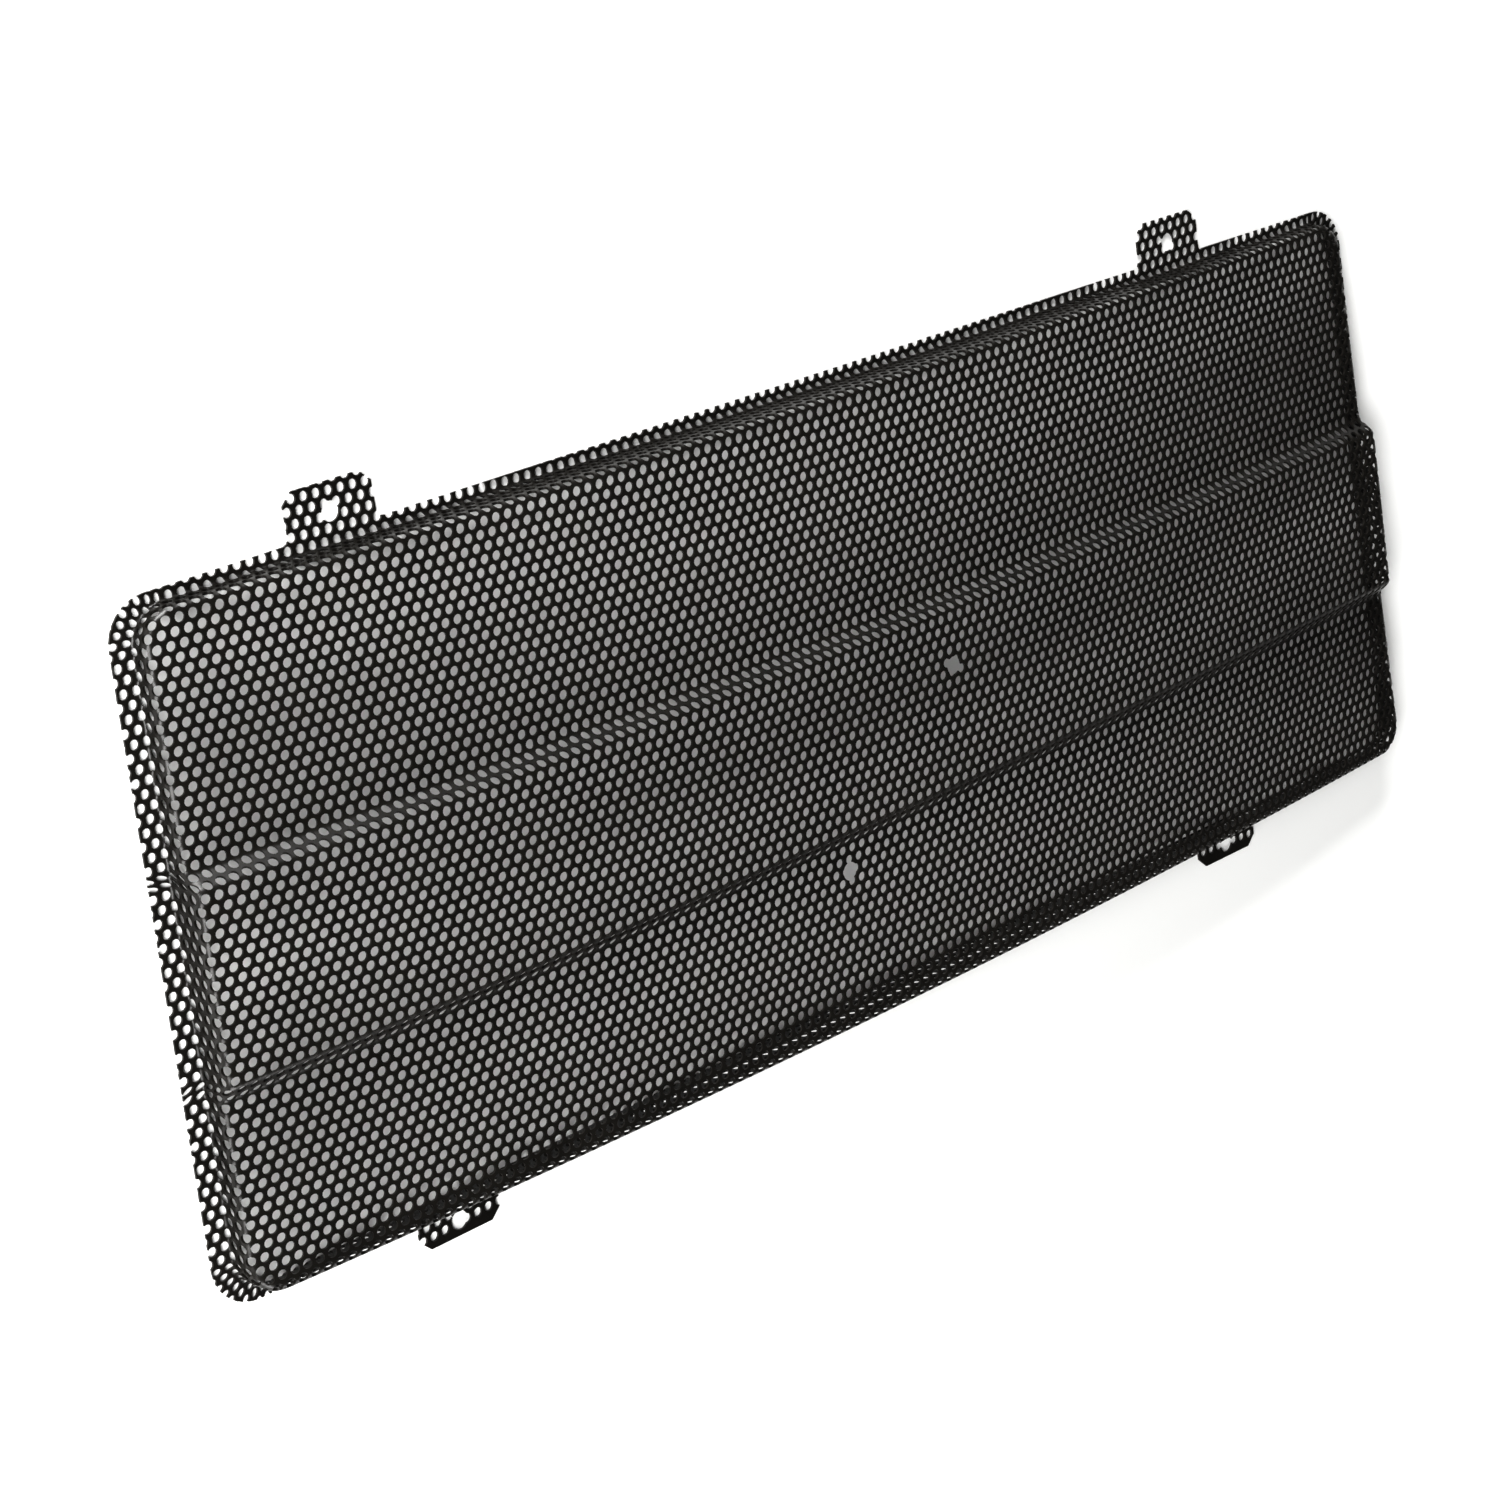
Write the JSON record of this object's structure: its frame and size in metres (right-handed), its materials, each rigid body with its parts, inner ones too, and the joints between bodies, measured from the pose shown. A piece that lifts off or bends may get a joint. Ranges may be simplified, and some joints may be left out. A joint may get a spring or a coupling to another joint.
{
  "type": "perforated steel vehicle grille screen",
  "caption": "Shallow crowned pan pressed from perforated steel sheet, with a raised middle band, a flat flange and bolt tabs, painted satin black; screens an air opening.",
  "frame": {"origin": "centre of the rectangle of four tab holes, on the underside of the flange", "axes": "+X along the long sides towards the right-hand end, +Y towards the rear, which is the longer side of the taper, +Z out of the raised face"},
  "size_m": [0.8162, 0.36, 0.0368],
  "materials": {
    "black_paint": "satin black paint over perforated steel"
  },
  "bodies": {
    "root": {"front_band_left": "black_paint", "front_band_centre": "black_paint", "front_band_right": "black_paint", "front_step_left": "black_paint", "front_step_centre": "black_paint", "front_step_right": "black_paint", "middle_band_left": "black_paint", "middle_band_centre": "black_paint", "middle_band_right": "black_paint", "rear_step_left": "black_paint", "rear_step_centre": "black_paint", "rear_step_right": "black_paint", "rear_band_left": "black_paint", "rear_band_centre": "black_paint", "rear_band_right": "black_paint", "front_wall": "black_paint", "rear_wall": "black_paint", "left_wall": "black_paint", "right_wall": "black_paint", "front_flange": "black_paint", "rear_flange": "black_paint", "left_flange": "black_paint", "right_flange": "black_paint", "corner_front_left": "black_paint", "corner_front_right": "black_paint", "corner_rear_left": "black_paint", "corner_rear_right": "black_paint", "tab_front_left": "black_paint", "tab_front_right": "black_paint", "tab_rear_left": "black_paint", "tab_rear_right": "black_paint"}
  },
  "joints": []
}
